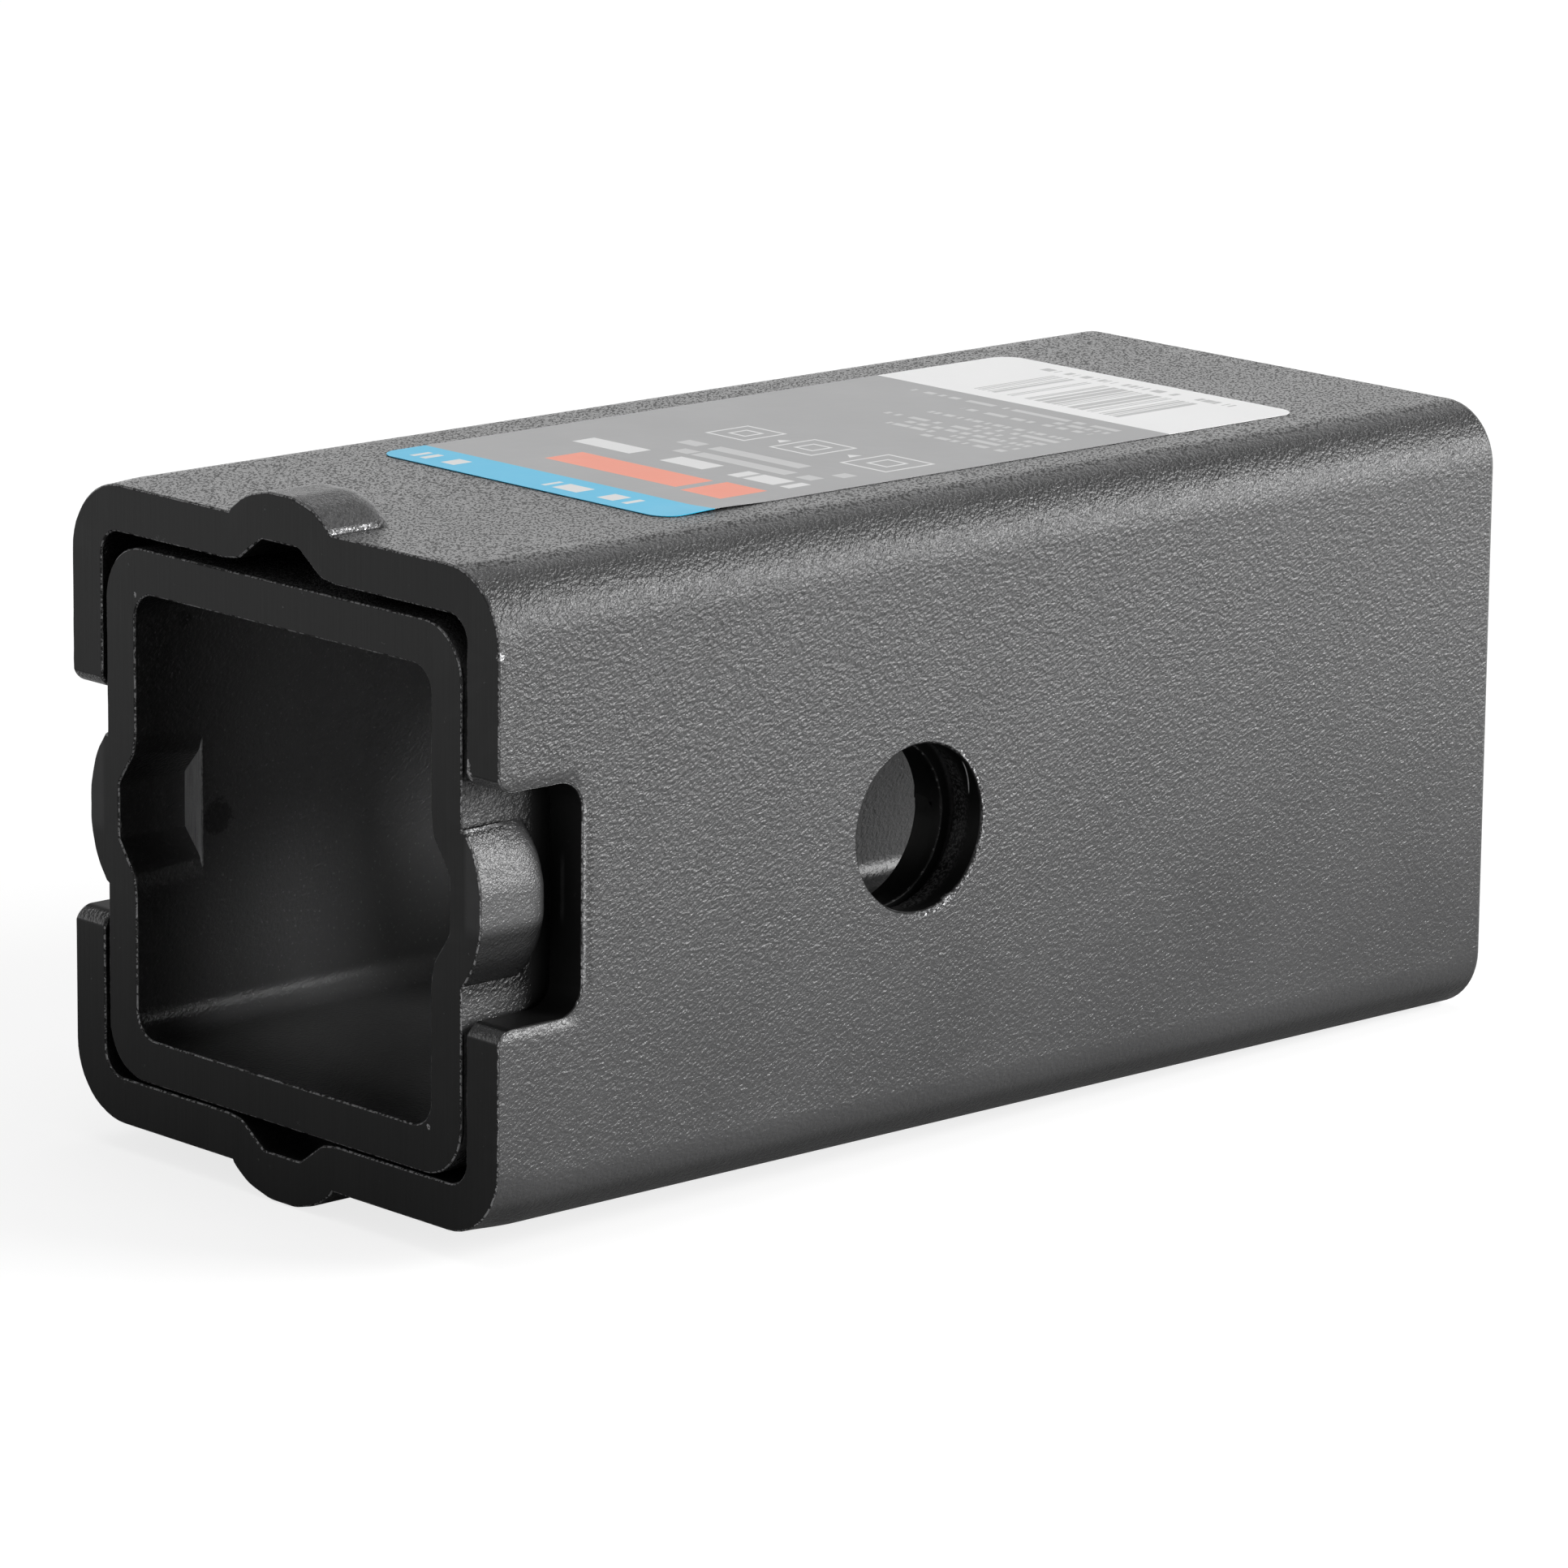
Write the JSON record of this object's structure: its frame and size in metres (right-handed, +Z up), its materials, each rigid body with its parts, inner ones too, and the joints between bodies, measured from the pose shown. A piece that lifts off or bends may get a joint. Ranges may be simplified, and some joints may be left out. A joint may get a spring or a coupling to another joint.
{
  "type": "hitch reducer sleeve",
  "caption": "Nested square steel sleeves that bring a large hitch receiver tube down to a smaller shank, with pressed stops at the mouth and a cross hole for the hitch pin.",
  "frame": {"origin": "middle of the outer sleeve's box, its stops included", "axes": "+Y along the sleeves from the mouth to the rear, +Z up through the labelled wall, +X to the right seen from the mouth"},
  "size_m": [0.0762, 0.1604, 0.0828],
  "materials": {
    "powder_coat": "satin black powder coat with a fine orange-peel texture",
    "printed_vinyl": "smooth satin vinyl with printed fields of blue, grey and white"
  },
  "bodies": {
    "outer": {"outer_sleeve": "powder_coat", "label": "printed_vinyl"},
    "inner": {"inner_sleeve": "powder_coat"}
  },
  "joints": [
    {"name": "inner_sleeve_slide", "type": "slide", "parent": "outer", "child": "inner", "axis": [0, -1, 0], "range_m": [-0.002, 0.165]}
  ]
}
